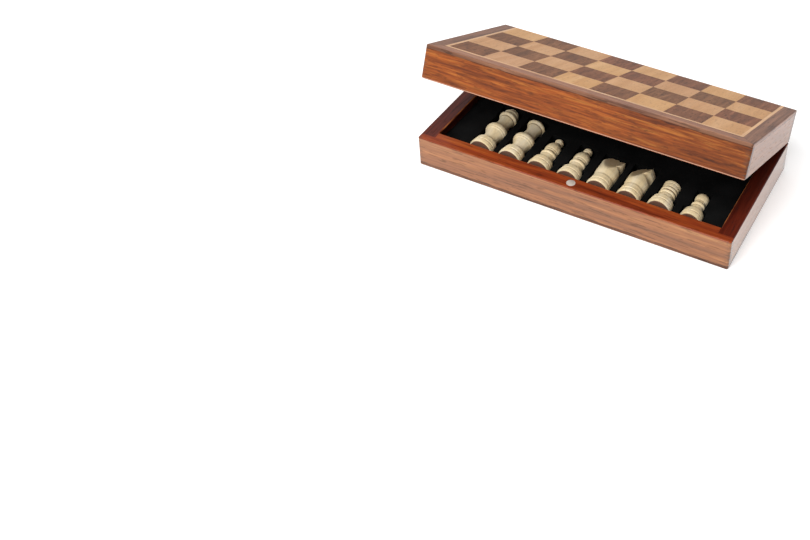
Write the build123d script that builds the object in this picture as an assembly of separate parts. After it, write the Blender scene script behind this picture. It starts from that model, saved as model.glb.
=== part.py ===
from build123d import *
import os
from math import sqrt

# Folding chess box. X runs along the length, Y from front to hinge, Z up. Millimetres.
# The origin is the middle of the tray's underside, which is one half of the playing field.

# Playing field: each half carries four rows of eight squares
square = 25.0
field_columns = 8
field_rows = 4
inlay_width = 2.0
border_width = 9.0
board_thickness = 2.2

# Carcass of one half
half_height = 22.8
wall = 10.5
corner_lap = 5.0
panel_thickness = 1.8
panel_rebate = 4.0
corner_round = 1.6
edge_round = 0.8
rim_break = 0.5
hinge_edge_break = 0.3

# Hinge line, and how far the lid stands open
rim_gap = 0.3
back_gap = 0.4
open_angle = 22.5

# Magnets let into the front rims
magnet_radius = 3.0
magnet_depth = 3.0

# Butt hinges let into the back rims
hinge_spacing = 130.0
leaf_length = 24.0
leaf_width = 8.0
leaf_thickness = 0.8
knuckle_radius = 1.7
middle_knuckle = 9.0
knuckle_gap = 0.2
groove_clearance = 0.4
pin_radius = 0.8
pin_clearance = 0.04
pin_overhang = 0.3
screw_radius = 0.8
screw_head_radius = 1.6
screw_length = 7.0
screw_spacing = 14.0
screw_from_back = 4.6

# Foam insert with a pocket for each man
insert_below_rim = 6.4
insert_clearance = 0.2
pocket_floor = 1.0
pocket_clearance = 0.4
lie_clearance = 0.25
front_margin = 5.0
rear_margin = 2.0
men_pitch = 21.5
front_row_shift = 2.4

# Turned feet, the same section on every man
foot_height = 3.0
foot_groove = 0.7
groove_height = 1.0
shoulder_height = 3.0
step_height = 2.6
step_lip = 0.4
felt_thickness = 0.8
felt_inset = 0.9

# The men: base radius, then each turned feature as (radius, height above the foot)
king = {"base": 8.6, "waist": (5.4, 12.5), "collar": (8.0, 22.0), "neck": (4.9, 29.5),
        "crown": (6.8, 38.4), "drum": (5.7, 43.2), "ball": (4.9, 43.4)}
queen = {"base": 8.5, "waist": (5.3, 12.3), "collar": (7.9, 21.4), "neck": (4.8, 29.0),
         "crown": (6.8, 39.2), "drum": (5.0, 40.9), "ball": (4.3, 41.2)}
bishop = {"base": 8.3, "waist": (4.7, 11.8), "collar": (6.0, 15.6), "egg": (5.7, 21.0), "ball": (3.2, 31.8)}
knight = {"base": 8.4, "waist": (7.0, 9.6), "body": (8.4, 14.0)}
rook = {"base": 8.5, "waist": (5.0, 12.0), "collar": (6.0, 15.0), "ring": (6.0, 18.2),
        "tower": (5.6, 20.2), "brim": (6.2, 24.8)}
pawn = {"base": 7.6, "waist": (4.0, 11.8), "collar": (4.9, 15.4), "ball": (4.9, 22.3)}
bulb_half_height = 3.0
bulb_round = 1.4
ring_half_height = 1.2
ring_round = 0.9
throat_ratio = 0.72
drum_flare = 0.4
dish_rim = 1.4
dish_depth = 2.0

# The knight's head: outline in its own X (towards the muzzle) and height
cheek_top_half = 3.6
head_room = 3.6
mane_notches = 4
mane_notch_depth = 0.9
mane_notch_width = 1.4
mane_from = 14.0
mane_to = 25.5
knight_chest = [(8.6, 14.5), (7.9, 19.6), (4.9, 23.2)]
knight_face = [(4.3, 25.4), (6.6, 26.6), (8.2, 28.0), (8.0, 30.2), (5.2, 32.4)]
knight_ears = [(1.6, 33.4), (-0.8, 32.7), (-2.6, 33.6)]
knight_crest = [(-4.4, 32.6), (-7.4, 29.0), (-8.6, 24.0)]

# Worked out from the sizes above
box_length = field_columns * square + 2 * (inlay_width + border_width)
box_depth = field_rows * square + inlay_width + border_width
right = box_length / 2
front = -box_depth / 2
back = box_depth / 2
inner_right = right - wall
inner_front = front + wall
inner_back = back - wall
hinge_y = back + back_gap / 2
hinge_z = half_height + rim_gap / 2
panel_top = board_thickness + panel_thickness
insert_top = half_height - insert_below_rim
floor_z = panel_top + pocket_floor

PARTS = {}


def slab(x0, x1, y0, y1, z0, z1):
    """A box between two corners."""
    middle = Pos((x0 + x1) / 2, (y0 + y1) / 2, (z0 + z1) / 2)
    return middle * Box(x1 - x0, y1 - y0, z1 - z0)


def prism(points, z0, z1):
    """An upright prism on a closed polygon."""
    return Pos(0, 0, z0) * extrude(make_face(Polyline(*points, close=True)), z1 - z0)


def rod_x(radius, x0, x1, y, z):
    """A round rod along X."""
    return Pos((x0 + x1) / 2, y, z) * Rot(0, 90, 0) * Cylinder(radius, x1 - x0)


# ---------------------------------------------------------------- carcass of one half

def outer_block():
    """The whole outside of a half, with the edges eased as the glued-up box is sanded."""
    block = slab(-right, right, front, back, 0, half_height)
    uprights = block.edges().filter_by(Axis.Z).group_by(Axis.Y)
    block = fillet(uprights[0], corner_round)
    block = chamfer(block.edges().filter_by(Axis.Z).group_by(Axis.Y)[-1], hinge_edge_break)
    under = block.edges().group_by(Axis.Z)[0].filter_by(lambda e: e.center().Y < back - wall / 2)
    block = fillet(under, edge_round)
    rim = block.edges().group_by(Axis.Z)[-1].filter_by(lambda e: e.center().Y < back - wall / 2)
    return chamfer(rim, rim_break)


def mitred_frame(block, inset, width):
    """Three strips round the field, mitred at the front corners and open at the hinge."""
    x0 = right - inset
    y0 = front + inset
    x1 = x0 - width
    y1 = y0 + width
    lead = prism([(-x0, y0), (x0, y0), (x1, y1), (-x1, y1)], 0, board_thickness)
    side = prism([(x0, y0), (x0, back), (x1, back), (x1, y1)], 0, board_thickness)
    return [block & lead, block & side, block & mirror(side, Plane.YZ)]


def field_squares(odd):
    """The sixteen squares of one colour. The square at the front right is dark, an odd one."""
    out = []
    for row in range(field_rows):
        for column in range(field_columns):
            if (row + column) % 2 == odd:
                x = -field_columns * square / 2 + column * square
                y = back - (field_rows - row) * square
                out.append(slab(x, x + square, y, y + square, 0, board_thickness))
    return out


def panel():
    """Thin ply panel behind the squares, let into a rebate in all four walls."""
    x = inner_right + panel_rebate
    y0 = inner_front - panel_rebate
    y1 = inner_back + panel_rebate
    return slab(-x, x, y0, y1, board_thickness, panel_top)


def rim_bevel():
    """Cutter that breaks the inner edge of the rim on all four walls."""
    opening = Rectangle(2 * inner_right, inner_back - inner_front)
    middle = Pos(0, (inner_front + inner_back) / 2, half_height - rim_break)
    return middle * extrude(opening, rim_break, taper=-45)


def magnet():
    """Round magnet set flush with the front rim, at mid-length."""
    return Pos(0, front + wall / 2, half_height - magnet_depth / 2) * Cylinder(magnet_radius, magnet_depth)


def walls(block):
    """Front, back, left and right wall. The long walls lap over the ends of the short ones."""
    above = slab(-right, right, front, back, board_thickness, half_height)
    carcass = (block & above) - panel() - rim_bevel()
    lap_front = slab(-right, right, front, front + corner_lap, 0, half_height)
    lap_back = slab(-right, right, back - corner_lap, back, 0, half_height)
    core_front = slab(-inner_right, inner_right, front, inner_front, 0, half_height)
    core_back = slab(-inner_right, inner_right, inner_back, back, 0, half_height)
    side = slab(inner_right, right, front + corner_lap, back - corner_lap, 0, half_height)
    front_wall = (carcass & (lap_front + core_front)) - magnet()
    back_wall = (carcass & (lap_back + core_back)) - hinge_seats()
    return front_wall, back_wall, carcass & mirror(side, Plane.YZ), carcass & side


# ---------------------------------------------------------------- butt hinges

def hinge_places():
    return [-hinge_spacing / 2, hinge_spacing / 2]


def screw_places():
    """Middle of each screw in the leaves of one half."""
    return [(x + side * screw_spacing / 2, back - screw_from_back) for x in hinge_places() for side in (-1, 1)]


def screw(x, y):
    """Countersunk wood screw, its head flush with the leaf."""
    head = Pos(x, y, half_height - leaf_thickness / 2) * Cone(screw_radius, screw_head_radius, leaf_thickness)
    shank = Pos(x, y, half_height - leaf_thickness - screw_length / 2) * Cylinder(screw_radius, screw_length)
    return head + shank


def hinge_seats():
    """What is cut from a back wall: leaf mortises, knuckle grooves and screw holes."""
    cut = [screw(x, y) for x, y in screw_places()]
    for x in hinge_places():
        x0 = x - leaf_length / 2
        x1 = x + leaf_length / 2
        cut.append(slab(x0, x1, back - leaf_width, back, half_height - leaf_thickness, half_height))
        radius = knuckle_radius + groove_clearance
        cut.append(rod_x(radius, x0 - groove_clearance, x1 + groove_clearance, hinge_y, hinge_z))
    return cut


def leaves(centre_knuckle):
    """Both leaves of one half. One half holds the outer knuckles, the other the middle one."""
    out = []
    for x in hinge_places():
        x0 = x - leaf_length / 2
        x1 = x + leaf_length / 2
        m0 = x - middle_knuckle / 2
        m1 = x + middle_knuckle / 2
        room = knuckle_radius + groove_clearance
        leaf = slab(x0, x1, back - leaf_width, hinge_y, half_height - leaf_thickness, half_height)
        if centre_knuckle:
            for a, b in ((x0 - knuckle_gap, m0 + knuckle_gap), (m1 - knuckle_gap, x1 + knuckle_gap)):
                leaf -= rod_x(room, a, b, hinge_y, hinge_z)
            leaf += rod_x(knuckle_radius, m0 + knuckle_gap, m1 - knuckle_gap, hinge_y, hinge_z)
        else:
            leaf -= rod_x(room, m0, m1, hinge_y, hinge_z)
            leaf += rod_x(knuckle_radius, x0, m0, hinge_y, hinge_z)
            leaf += rod_x(knuckle_radius, m1, x1, hinge_y, hinge_z)
        leaf -= rod_x(pin_radius + pin_clearance, x0 - knuckle_gap, x1 + knuckle_gap, hinge_y, hinge_z)
        for sx, sy in screw_places():
            if x0 < sx < x1:
                leaf -= screw(sx, sy)
        out.append(leaf)
    return out


def hinge_pins():
    """One steel pin through the three knuckles of each hinge."""
    reach = leaf_length / 2 + pin_overhang
    return [rod_x(pin_radius, x - reach, x + reach, hinge_y, hinge_z) for x in hinge_places()]


# ---------------------------------------------------------------- the men

def turned(runs):
    """Revolve an outline. A run is an end point, or an end point and a point on the curve to it.

    An arc centred beyond the axis would sweep a surface that crosses itself, so it becomes a spline.
    """
    pen = (0, 0)
    edges = []
    for run in runs:
        if len(run) == 2:
            edges.append(Line(pen, run))
            pen = run
        else:
            end, via = run[:2], run[2:]
            arc = ThreePointArc(pen, via, end)
            edges.append(Spline(pen, via, end) if arc.arc_center.X < -pen[0] / 2 else arc)
            pen = end
    edges.append(Line(pen, (0, 0)))
    return revolve(Plane.XZ * make_face(edges), Axis.Z)


def foot(man):
    """Foot, groove, shoulder and the rounded step in to the waist."""
    r = man["base"]
    top = foot_height + groove_height
    brow = r - foot_groove
    inner = man["waist"][0] + step_lip
    step = top + shoulder_height
    return [(r, 0), (r, foot_height), (brow, foot_height + groove_height / 2), (r - foot_groove / 3, top), (brow, step),
            (inner, step + step_height, inner + (brow - inner) * sqrt(0.5), step + step_height * sqrt(0.5))]


def bead(man, name, half_height, round_out):
    """Where a rounded ring starts, and the run over it."""
    r, z = man[name]
    return (r - round_out, z - half_height), (r - round_out, z + half_height, r, z)


def hollow_and_bead(man, hollow, name, half_height=ring_half_height, round_out=ring_round):
    """Concave sweep through a waist or neck, then a rounded ring."""
    start, over = bead(man, name, half_height, round_out)
    return [(*start, *man[hollow]), over]


def zone(ball, z0, z1):
    """The part of a ball on the axis that lies between two heights."""
    r, middle = ball
    start = sqrt(r**2 - (z0 - middle)**2)
    end = 0 if z1 >= middle + r else sqrt(r**2 - (z1 - middle)**2)
    return [(start, z0), (end, z1, r, middle)]


def ball_top(ball):
    """A ball that ends the man, entered at its throat."""
    r, middle = ball
    return zone(ball, middle - r * sqrt(1 - throat_ratio**2), middle + r)


def crowned_outline(man):
    """King and queen: a bulb over the waist, then a neck, a crown, a drum and a dome."""
    drum_r, drum_top = man["drum"]
    runs = foot(man) + hollow_and_bead(man, "waist", "collar", bulb_half_height, bulb_round)
    runs += hollow_and_bead(man, "neck", "crown")
    runs += [(drum_r - drum_flare, man["crown"][1] + ring_half_height), (drum_r, drum_top)]
    return runs + zone(man["ball"], drum_top, sum(man["ball"]))


def bishop_outline():
    """A ring, an egg that narrows upwards, and a small ball."""
    ball_r, ball_z = bishop["ball"]
    egg_r, egg_z = bishop["egg"]
    runs = foot(bishop) + hollow_and_bead(bishop, "waist", "collar")
    runs += [(egg_r - ring_round, bishop["collar"][1] + 2 * ring_half_height)]
    runs += [(ball_r * throat_ratio, ball_z - ball_r, egg_r, egg_z)]
    return runs + ball_top(bishop["ball"])


def rook_outline():
    """Two rings under a tower with a dished top."""
    brim_r, top = rook["brim"]
    runs = foot(rook) + hollow_and_bead(rook, "waist", "collar")
    runs += bead(rook, "ring", ring_half_height, ring_round)
    return runs + [rook["tower"], rook["brim"], (brim_r - dish_rim, top), (0, top - dish_depth)]


def pawn_outline():
    """One ring and a ball."""
    return foot(pawn) + hollow_and_bead(pawn, "waist", "collar") + ball_top(pawn["ball"])


def man_height(man):
    """From the foot to the top of the ball, the brim or the ears."""
    if "ball" in man:
        return sum(man["ball"])
    if "brim" in man:
        return man["brim"][1]
    return max(z for x, z in knight_ears)


def side_cut(outline, reach, low):
    """What stays of a blank after sawing round an outline, which hangs over everything below it."""
    return [(-reach, low), (reach, low), (reach, outline[0][1])] + outline + [(-reach, outline[-1][1])]


def knight_body():
    """A turned blank, sawn round the head's profile, with two sawn cheeks and a notched mane."""
    body_r, body_z = knight["body"]
    high = man_height(knight)
    reach = body_r + head_room
    low = -head_room
    blank = turned(foot(knight) + [(body_r, body_z), (body_r, high), (0, high)])
    profile = side_cut(knight_chest + knight_face + knight_ears + knight_crest, reach, low)
    cheeks = side_cut([(body_r, body_z), (cheek_top_half, high), (-cheek_top_half, high), (-body_r, body_z)], reach, low)
    blank &= extrude(Plane.XZ * make_face(Polyline(*profile, close=True)), reach, both=True)
    blank &= extrude(Plane.YZ * make_face(Polyline(*cheeks, close=True)), reach, both=True)
    pitch = (mane_to - mane_from) / (mane_notches - 1)
    for i in range(mane_notches):
        z = mane_from + i * pitch
        deep = (mane_notch_depth - body_r, z - mane_notch_width / 2)
        notch = [(-reach, z - 2 * mane_notch_width), (-reach, z + 2 * mane_notch_width), deep]
        blank -= extrude(Plane.XZ * make_face(Polyline(*notch, close=True)), reach, both=True)
    return blank


def felt(man):
    """Felt disc under the foot."""
    return Pos(0, 0, -felt_thickness / 2) * Cylinder(man["base"] - felt_inset, felt_thickness)


def body_radius(man):
    """Widest radius above the base, which lies on the shallow end of the pocket."""
    return max(man[name][0] for name in man if name != "base")


def laid(shape, man, x, rear):
    """Lay a man level in its pocket: foot against the front or the rear margin, head inwards."""
    stand_off = felt_thickness + foot_height
    y = inner_back - rear_margin - stand_off if rear else inner_front + front_margin + stand_off
    turn = Rot(0, 0, 180) if rear else Rot(0, 0, 0)
    return Pos(x, y, floor_z + lie_clearance + man["base"]) * turn * Rot(-90, 0, 0) * Pos(0, 0, -foot_height) * shape


def pocket(man, x, rear):
    """Pocket in the foam: a deep wide end for the base and a narrower, shallower slot for the body."""
    body_r = body_radius(man)
    base_r = man["base"] + pocket_clearance
    slot_r = min(body_r + pocket_clearance, base_r)
    base_height = felt_thickness + foot_height + groove_height + shoulder_height + step_height
    base_end = base_height + pocket_clearance
    length = felt_thickness + man_height(man) + pocket_clearance
    top = half_height
    wide = slab(x - base_r, x + base_r, -pocket_clearance, base_end, floor_z, top)
    slot = slab(x - slot_r, x + slot_r, 0, length, floor_z + man["base"] - body_r, top)
    shape = wide + slot
    if rear:
        return Pos(0, inner_back - rear_margin, 0) * mirror(shape, Plane.XZ)
    return Pos(0, inner_front + front_margin, 0) * shape


def line_up():
    """Every man of one colour: node name, kind, X and whether it lies in the rear row."""
    first = front_row_shift - men_pitch * (field_columns - 1) / 2
    front_row = ["king", "queen", "bishop_1", "bishop_2", "knight_1", "knight_2", "rook_1", "pawns"]
    rear_row = ["pawns"] * 7 + ["rook_2"]
    places = []
    for i, name in enumerate(front_row):
        places.append((name, first + i * men_pitch, False))
    for i, name in enumerate(rear_row):
        places.append((name, first + (i - 0.5) * men_pitch, True))
    return places


def kind_of(name):
    kinds = {"king": king, "queen": queen, "bishop": bishop, "knight": knight, "rook": rook, "pawns": pawn}
    return kinds[name.split("_")[0]]


def insert():
    """Black foam block cut with one pocket for each man."""
    x = inner_right - insert_clearance
    y0 = inner_front + insert_clearance
    y1 = inner_back - insert_clearance
    block = slab(-x, x, y0, y1, panel_top, insert_top)
    return block - [pocket(kind_of(name), px, rear) for name, px, rear in line_up()]


# ---------------------------------------------------------------- one half, and the two of them

def half(owner, colour, centre_knuckle):
    """All pieces of one half, rim up, with their node names."""
    block = outer_block()
    front_wall, back_wall, left_wall, right_wall = walls(block)
    pieces = {
        "front_wall": [front_wall],
        "back_wall": [back_wall],
        "left_wall": [left_wall],
        "right_wall": [right_wall],
        "panel": [panel()],
        "dark_squares": field_squares(1),
        "light_squares": field_squares(0),
        "inlay_lines": mitred_frame(block, border_width, inlay_width),
        "border_strips": mitred_frame(block, 0, border_width),
        "insert": [insert()],
        "magnet": [magnet()],
        "hinge_leaves": leaves(centre_knuckle),
        "hinge_screws": [screw(x, y) for x, y in screw_places()],
    }
    nodes = {owner + "_" + name: solids for name, solids in pieces.items()}
    shapes = {
        "king": turned(crowned_outline(king)),
        "queen": turned(crowned_outline(queen)),
        "bishop": turned(bishop_outline()),
        "knight": knight_body(),
        "rook": turned(rook_outline()),
        "pawns": turned(pawn_outline()),
    }
    for name, x, rear in line_up():
        man = kind_of(name)
        body = laid(shapes[name.split("_")[0]], man, x, rear)
        nodes.setdefault(colour + "_" + name, []).append(body)
        nodes.setdefault(colour + "_felts", []).append(laid(felt(man), man, x, rear))
    return nodes


def lid_place():
    """Turns a half rim down over the tray, then swings it up by the open angle."""
    hinge = Pos(0, hinge_y, hinge_z)
    swing = hinge * Rot(-open_angle, 0, 0) * hinge.inverse()
    return swing * Pos(0, 0, 2 * half_height + rim_gap) * Rot(0, 180, 0)


def write(name, solids):
    """One STEP file for each node."""
    body = solids[0] if len(solids) == 1 else Compound(children=solids)
    body.label = name
    export_step(body, "parts/" + name + ".step")


os.makedirs("parts", exist_ok=True)

for name, solids in half("tray", "white", False).items():
    PARTS[name] = solids
PARTS["hinge_pins"] = hinge_pins()
over = lid_place()
for name, solids in half("lid", "dark", True).items():
    PARTS[name] = [over * solid for solid in solids]

for name, solids in PARTS.items():
    write(name, solids)
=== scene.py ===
import bpy
import bmesh
from math import atan2, cos, pi, radians, sin, sqrt
from mathutils import Matrix, Vector


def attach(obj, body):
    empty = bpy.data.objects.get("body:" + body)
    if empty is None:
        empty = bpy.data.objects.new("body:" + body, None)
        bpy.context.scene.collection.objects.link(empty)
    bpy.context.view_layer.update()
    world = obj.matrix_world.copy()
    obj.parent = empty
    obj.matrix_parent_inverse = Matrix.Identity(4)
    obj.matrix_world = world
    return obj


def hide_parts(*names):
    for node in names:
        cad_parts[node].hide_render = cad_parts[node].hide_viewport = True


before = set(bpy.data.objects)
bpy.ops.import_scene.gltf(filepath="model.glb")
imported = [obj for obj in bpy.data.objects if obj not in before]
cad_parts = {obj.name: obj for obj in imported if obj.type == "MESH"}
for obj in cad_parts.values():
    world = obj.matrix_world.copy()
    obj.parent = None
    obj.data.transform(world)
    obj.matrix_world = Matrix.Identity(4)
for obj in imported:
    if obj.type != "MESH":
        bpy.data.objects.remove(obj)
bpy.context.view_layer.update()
scene = bpy.context.scene


# ---- Studio ----------------------------------------------------------
# The box lies on a pale seamless table between two large soft lamps, one high in front and one
# above the hinges, with a pale room all round. None of this is part of the object.

def linear(hex_colour):
    """sRGB hex to the linear colour that Blender's sockets take."""
    channels = [int(hex_colour[i:i + 2], 16) / 255 for i in (1, 3, 5)]
    return [c / 12.92 if c <= 0.04045 else ((c + 0.055) / 1.055) ** 2.4 for c in channels] + [1.0]


def add(tree, kind, feeds=None, stops=None, gives=0, **settings):
    """Adds a shader node. Returns its first output, the one that gives names, or all of them for "all".
    feeds maps an input to a value or to the output that feeds it; stops fill a ramp."""
    made = tree.nodes.new("ShaderNode" + kind)
    for key, value in settings.items():
        setattr(made, key, value)
    for key, value in (feeds or {}).items():
        if isinstance(value, bpy.types.NodeSocket):
            tree.links.new(value, made.inputs[key])
        else:
            made.inputs[key].default_value = value
    if stops:
        ramp = made.color_ramp
        while len(ramp.elements) < len(stops):
            ramp.elements.new(1.0)
        for element, (place, colour) in zip(ramp.elements, stops):
            element.position = place
            element.color = linear(colour)
    return made.outputs if gives == "all" else made.outputs[gives]


def new_material(name):
    """A material without nodes, and its tree."""
    made = bpy.data.materials.new(name)
    made.use_nodes = True
    made.node_tree.nodes.clear()
    return made, made.node_tree


def dress(material, shader, *nodes):
    """Ends a material with its shader, and gives it to these solids of the frame."""
    add(material.node_tree, "OutputMaterial", {"Surface": shader}, gives="all")
    for node in nodes:
        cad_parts[node].material_slots[0].material = material


picture_width, picture_height = 810, 540
lens_px, middle_px = 1155.8, (600, 150)
sensor_width, near_end = 36, 0.01
eye = Vector((0.24161, -0.55829, 0.49876))
azimuth, elevation, roll = radians(23.642), radians(38.55), radians(2.682)

back = Vector((sin(azimuth) * cos(elevation), -cos(azimuth) * cos(elevation), sin(elevation)))
right = Vector((0, 0, 1)).cross(back).normalized()
up = back.cross(right)
turned_right = cos(roll) * right + sin(roll) * up
turned_up = cos(roll) * up - sin(roll) * right

lens = bpy.data.cameras.new("camera")
lens.sensor_fit = "HORIZONTAL"
lens.sensor_width = sensor_width
lens.lens = lens_px / picture_width * sensor_width
lens.shift_x = (picture_width / 2 - middle_px[0]) / picture_width
lens.shift_y = (middle_px[1] - picture_height / 2) / picture_width
lens.clip_start = near_end
camera = bpy.data.objects.new("camera", lens)
turn = Matrix((turned_right, turned_up, back)).transposed().to_4x4()
camera.matrix_world = Matrix.Translation(eye) @ turn
scene.collection.objects.link(camera)
scene.camera = camera

# Each softbox has its width and height in metres, its watts and its place.
softboxes = {"front_softbox": ((0.7, 0.9), 12.0, (-0.15, -0.68, 0.82)),
             "top_softbox": ((1.0, 0.8), 3.0, (0.1, 0.45, 1.0))}
middle_of_box = Vector((0.0, 0.0, 0.03))
for name, (size, watts, spot) in softboxes.items():
    lamp_data = bpy.data.lights.new(name, "AREA")
    lamp_data.shape = "RECTANGLE"
    lamp_data.size, lamp_data.size_y = size
    lamp_data.energy = watts
    lamp = bpy.data.objects.new(name, lamp_data)
    lamp.location = spot
    lamp.rotation_euler = (middle_of_box - Vector(spot)).to_track_quat("-Z", "Y").to_euler()
    scene.collection.objects.link(lamp)

# The room is white where it is seen or mirrored, and lights the box at less than half of that.
seen_strength, lighting_strength = 1.0, 0.45
room = bpy.data.worlds.new("room")
room.use_nodes = True
room.node_tree.nodes.clear()
tree = room.node_tree
rays = add(tree, "LightPath", gives="all")
seen = add(tree, "Math", {0: rays["Is Camera Ray"], 1: rays["Is Glossy Ray"]}, operation="MAXIMUM")
seen = add(tree, "Math", {0: seen, 1: rays["Is Transmission Ray"]}, operation="MAXIMUM")
strength = add(tree, "MapRange", {"Value": seen, "To Min": lighting_strength, "To Max": seen_strength})
air = add(tree, "Background", {"Color": linear("#ffffff"), "Strength": strength})
add(tree, "OutputWorld", {0: air}, gives="all")
scene.world = room

# Matt paper: it holds the soft shadow of the box, and glows just enough to be seen as white.
table_reach, paper_glow = 6, 0.28
corners = [(-table_reach, -table_reach, 0), (table_reach, -table_reach, 0),
           (table_reach, table_reach, 0), (-table_reach, table_reach, 0)]
table_mesh = bpy.data.meshes.new("table")
table_mesh.from_pydata(corners, [], [(0, 1, 2, 3)])
table = bpy.data.objects.new("table", table_mesh)
scene.collection.objects.link(table)
paper, tree = new_material("pale_paper")
rays = add(tree, "LightPath", gives="all")
seen = add(tree, "Math", {0: rays["Is Camera Ray"], 1: rays["Is Glossy Ray"]}, operation="MAXIMUM")
matt = add(tree, "BsdfDiffuse", {"Color": linear("#f4f4f4")})
glow = add(tree, "Math", {0: seen, 1: paper_glow}, operation="MULTIPLY")
veil = add(tree, "Emission", {"Color": linear("#ffffff"), "Strength": glow})
dress(paper, add(tree, "AddShader", {0: matt, 1: veil}))
table_mesh.materials.append(paper)

scene.view_settings.view_transform = "Standard"


# ---- Walls -----------------------------------------------------------
# Each half is a shallow tray of four red-brown hardwood boards under clear gloss lacquer. The
# long boards lap over the ends of the short ones and are glued; their rims are stained darker.

MM = 0.001
half_height, box_length, box_depth = 22.8, 222.0, 111.0
wall, board_thickness = 10.5, 2.2
hinge_y, hinge_z, rim_gap, open_angle = 55.7, 22.95, 0.3, radians(22.5)

at_hinge = Matrix.Translation((0, hinge_y, hinge_z))
turned_over = Matrix.Translation((0, 0, 2 * half_height + rim_gap)) @ Matrix.Rotation(pi, 4, "Y")
swung_open = at_hinge @ Matrix.Rotation(-open_angle, 4, "X") @ at_hinge.inverted()
places = {"tray": Matrix.Identity(4), "lid": swung_open @ turned_over}


def own_millimetres(tree, half):
    """A point's place in its own half, in millimetres from the middle of the field."""
    way_back = places[half].inverted()
    spot = add(tree, "TexCoord", gives="Object")
    return add(tree, "Mapping", {"Vector": spot, "Scale": (1 / MM, 1 / MM, 1 / MM),
                                 "Rotation": way_back.to_euler("XYZ"), "Location": way_back.translation})


def grain(tree, place, stops, streak, fibre, pore, pore_depth=0.35, run=22.0, pore_run=9.0, wander=1.0,
          contrast=0.17):
    """Long-grained wood. place has its X along the grain, in mm; streak, fibre and pore are widths in mm,
    run and pore_run say how many times as long they are, and contrast is how much the fibres differ.
    Real pores are a third as wide and wouldn't show. Returns colour, height of the surface and pores."""
    wide = add(tree, "Mapping", {"Vector": place, "Scale": (1 / (streak * run), 1 / streak, 1 / streak)})
    drift = add(tree, "TexNoise", {"Vector": wide, "Scale": 0.45, "Detail": 5.0, "Roughness": 0.62,
                                   "Distortion": wander})
    figure = add(tree, "ValToRGB", {0: drift}, stops)
    fibre_scale = (1 / (fibre * run * 1.3), 1 / fibre, 1 / fibre)
    thin = add(tree, "Mapping", {"Vector": place, "Scale": fibre_scale})
    fibres = add(tree, "TexNoise", {"Vector": thin, "Scale": 0.5, "Detail": 3.0, "Roughness": 0.6})
    shade = add(tree, "MapRange", {"Value": fibres, "From Min": 0.3, "From Max": 0.7,
                                   "To Min": 1 - 1.2 * contrast, "To Max": 1 + 0.8 * contrast})
    short = add(tree, "Mapping", {"Vector": place, "Scale": (1 / (pore * pore_run), 1 / pore, 1 / pore)})
    cells = add(tree, "TexNoise", {"Vector": short, "Scale": 0.6, "Detail": 2.0, "Roughness": 0.5})
    pores = add(tree, "MapRange", {"Value": cells, "From Min": 0.57, "From Max": 0.66},
                interpolation_type="SMOOTHSTEP")
    dark = add(tree, "MapRange", {"Value": pores, "To Min": 1.0, "To Max": 1 - pore_depth})
    level = add(tree, "Math", {0: shade, 1: dark}, operation="MULTIPLY")
    toned = add(tree, "VectorMath", {0: figure, "Scale": level}, operation="SCALE")
    height = add(tree, "Math", {0: fibres, 1: pores}, operation="SUBTRACT")
    return toned, height, pores


def turned_grain(tree, place):
    """Swaps X and Y, so that the grain runs from front to back."""
    x, y, z = add(tree, "SeparateXYZ", {0: place}, gives="all")
    return add(tree, "CombineXYZ", {0: y, 1: x, 2: z})


# The tray's boards are pale and even, with long streaks. The lid's are redder and livelier, with a
# painted reflection along the rim, and darker towards one end. The short boards have more gloss than the
# long ones.
boards = {
    "tray": {
        "grain": {"stops": [(0.32, "#7e553b"), (0.44, "#926041"), (0.54, "#a36b44"), (0.66, "#b98456")],
                  "streak": 2.8, "fibre": 0.5, "pore": 0.6, "run": 26.0, "wander": 0.4, "contrast": 0.2},
        "long_gloss": 0.6, "short_gloss": 1.0, "stain_reach": 0.75, "painted_pale_edge": 0.0, "far_end_level": 1.0},
    "lid": {
        "grain": {"stops": [(0.30, "#5c2a10"), (0.42, "#793a14"), (0.54, "#8c4719"), (0.68, "#a36128")],
                  "streak": 1.1, "fibre": 0.5, "pore": 0.7, "run": 14.0, "pore_run": 6.0, "wander": 0.8,
                  "contrast": 0.32},
        "long_gloss": 0.25, "short_gloss": 0.46, "stain_reach": 0.3, "painted_pale_edge": 0.65, "far_end_level": 0.8},
}
long_rim_tones = [(0.28, "#4d1a0c"), (0.45, "#85361a"), (0.60, "#a04a20"), (0.75, "#b96a30")]
short_rim_tones = [(0.28, "#300e08"), (0.45, "#48160c"), (0.60, "#581e10"), (0.75, "#6e2a18")]
end_tones = [(0.30, "#5b4436"), (0.55, "#8a6854"), (0.75, "#a8856e")]

# Where stain, smudges, the darker band and painted light lie, in mm: below the rim, out from the opening, or
# in from the ends. The far end's darkening is placed along the box. The glue line's reach is above the
# board.
stain_fade, stain_lip, arris, arris_top = 0.2, 0.6, 0.5, 0.2
highlight_from, highlight_to, highlight_length, pale_edge_from, pale_edge_to = 0.3, 0.8, 30, 0.95, 0.65
darkening_from, darkening_to, end_skin = -15.0, -75.0, 0.06
smudge_from, smudge_to, smudge_length, smudge_height = 4.0, 0.5, 3, 1.5
glue_reach, glue_blur, glue_ragged = (0.15, 1.3), (-0.15, 0.25), (9, 4)
opening_x, opening_y = box_length / 2 - wall, box_depth / 2 - wall

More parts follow.
